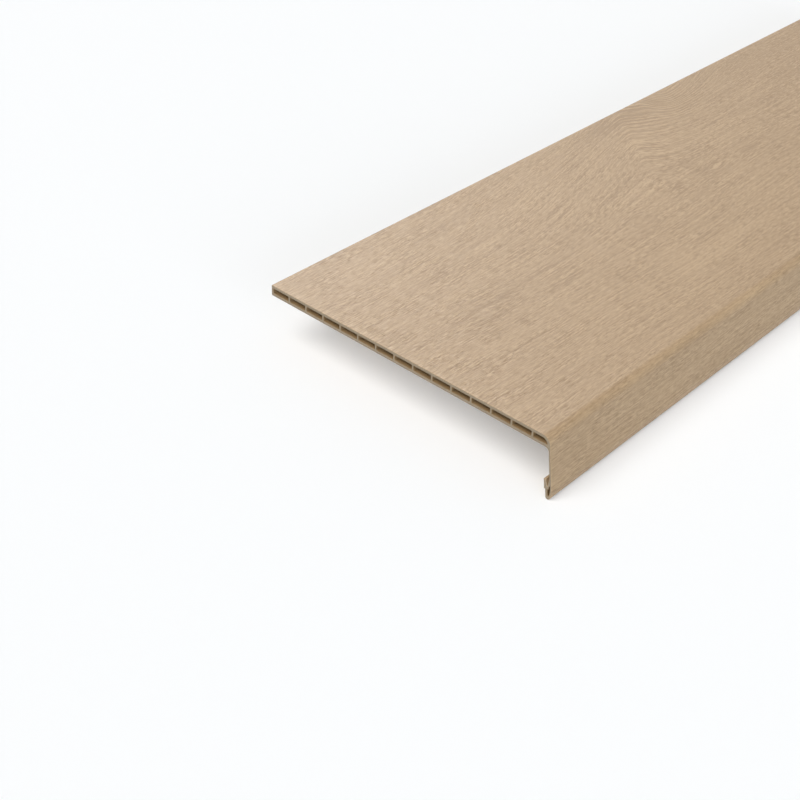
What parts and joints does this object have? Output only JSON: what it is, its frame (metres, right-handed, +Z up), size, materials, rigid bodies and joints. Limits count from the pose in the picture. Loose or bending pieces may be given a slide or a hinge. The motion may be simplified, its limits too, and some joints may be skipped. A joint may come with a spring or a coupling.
{
  "type": "stair tread",
  "caption": "Hollow-chamber plastic stair tread profile with a rounded nose, a leaning skirt and a grooved foot, covered with a pale wood-grain film.",
  "frame": {"origin": "middle of the length and of the overall depth, level with the bottom of the foot under the nose", "axes": "+X along the length of the tread, +Y from the nose towards the rear edge, +Z up out of the tread surface"},
  "size_m": [1, 0.3, 0.056],
  "materials": {
    "wood_grain_profile": "matt rigid plastic with a printed and brushed pale oak grain along its length; plain beige plastic where it is sawn"
  },
  "bodies": {
    "root": {"tread_profile": "wood_grain_profile"}
  },
  "joints": []
}
